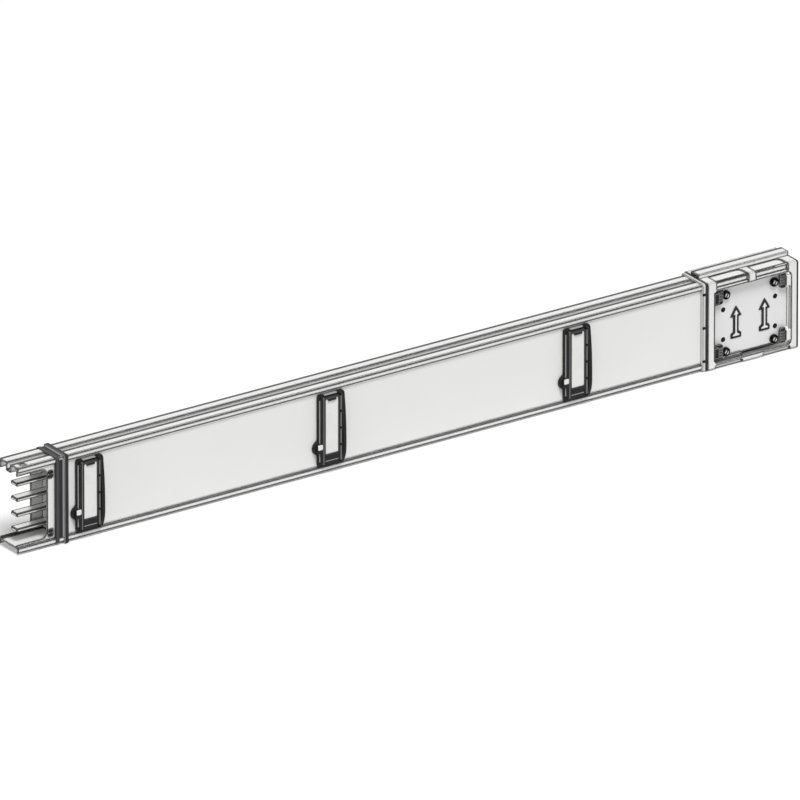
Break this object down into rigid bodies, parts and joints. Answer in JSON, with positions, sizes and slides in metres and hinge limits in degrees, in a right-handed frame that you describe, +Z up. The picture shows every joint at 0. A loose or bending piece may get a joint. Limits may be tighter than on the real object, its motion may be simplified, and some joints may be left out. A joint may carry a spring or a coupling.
{
  "type": "busway section",
  "caption": "Straight length of busbar trunking: folded steel casing, flat bars, hinged plug-in outlets, a bare tongue at one end and a bolted joint block at the other.",
  "frame": {"origin": "on the floor under the section, midway along its length and across its depth", "axes": "+X along the section from the bare tongue to the joint block, +Y from the front face with the outlets to the plain back, +Z up from the floor to the ridged top"},
  "size_m": [1.5, 0.071, 0.1589],
  "materials": {
    "casing_sheet": "satin pale grey-white lacquer on folded steel sheet",
    "joint_sheet": "satin pale grey-white lacquer on folded steel sheet",
    "clamping_plate": "satin pale coat on steel plate",
    "collar": "fine-textured charcoal moulding",
    "end_collar": "fine-textured light grey moulding with a black sealing lip",
    "insulator": "matt off-white glass-filled moulding",
    "busbar": "extruded and tinned, with faint draw lines",
    "contact": "tinned copper alloy",
    "gasket": "matt black sponge rubber",
    "outlet_frame": "fine-textured charcoal moulding",
    "outlet_door": "fine-textured charcoal moulding",
    "inlay": "semi-gloss white plate",
    "button": "semi-gloss white moulding",
    "steel": "zinc-plated, dark",
    "clip": "matt black moulding"
  },
  "bodies": {
    "casing": {"top_rail": "casing_sheet", "bottom_rail": "casing_sheet", "front_panel": "casing_sheet", "back_panel": "casing_sheet", "joint_cover": "joint_sheet", "joint_housing": "joint_sheet", "front_clamping_plate": "clamping_plate", "back_clamping_plate": "clamping_plate", "left_collar": "collar", "right_collar": "end_collar", "left_bar_comb": "insulator", "right_bar_comb": "insulator", "joint_core": "insulator", "mid_bar_comb_1": "insulator", "mid_bar_comb_2": "insulator", "mid_bar_comb_3": "insulator", "busbar_1": "busbar", "busbar_2": "busbar", "busbar_3": "busbar", "busbar_4": "busbar", "contact_jaw_1": "contact", "contact_jaw_2": "contact", "contact_jaw_3": "contact", "contact_jaw_4": "contact", "outlet_gasket_1": "gasket", "outlet_gasket_2": "gasket", "outlet_gasket_3": "gasket", "outlet_frame_1": "outlet_frame", "outlet_frame_2": "outlet_frame", "outlet_frame_3": "outlet_frame", "outlet_socket_1": "insulator", "outlet_socket_2": "insulator", "outlet_socket_3": "insulator", "hinge_pin_1": "steel", "hinge_pin_2": "steel", "hinge_pin_3": "steel", "tie_bolt_lower_left": "steel", "tie_bolt_lower_right": "steel", "tie_bolt_upper_left": "steel", "tie_bolt_upper_right": "steel", "plate_rivet_lower_left": "steel", "plate_rivet_lower_right": "steel", "plate_rivet_upper_left": "steel", "plate_rivet_upper_right": "steel", "corner_clip_lower_left": "clip", "corner_clip_lower_right": "clip", "corner_clip_upper_left": "clip", "corner_clip_upper_right": "clip"},
    "door_1": {"outlet_door_1": "outlet_door", "door_inlay_1": "inlay", "catch_button_1": "button"},
    "door_2": {"outlet_door_2": "outlet_door", "door_inlay_2": "inlay", "catch_button_2": "button"},
    "door_3": {"outlet_door_3": "outlet_door", "door_inlay_3": "inlay", "catch_button_3": "button"}
  },
  "joints": [
    {"name": "door_1_hinge", "type": "hinge", "parent": "casing", "child": "door_1", "pos_m": [-0.5975, -0.0326, 0.076], "axis": [0, 0, 1], "range_deg": [0, 105]},
    {"name": "door_2_hinge", "type": "hinge", "parent": "casing", "child": "door_2", "pos_m": [-0.136, -0.0326, 0.076], "axis": [0, 0, 1], "range_deg": [0, 105]},
    {"name": "door_3_hinge", "type": "hinge", "parent": "casing", "child": "door_3", "pos_m": [0.3385, -0.0326, 0.076], "axis": [0, 0, 1], "range_deg": [0, 105]}
  ]
}
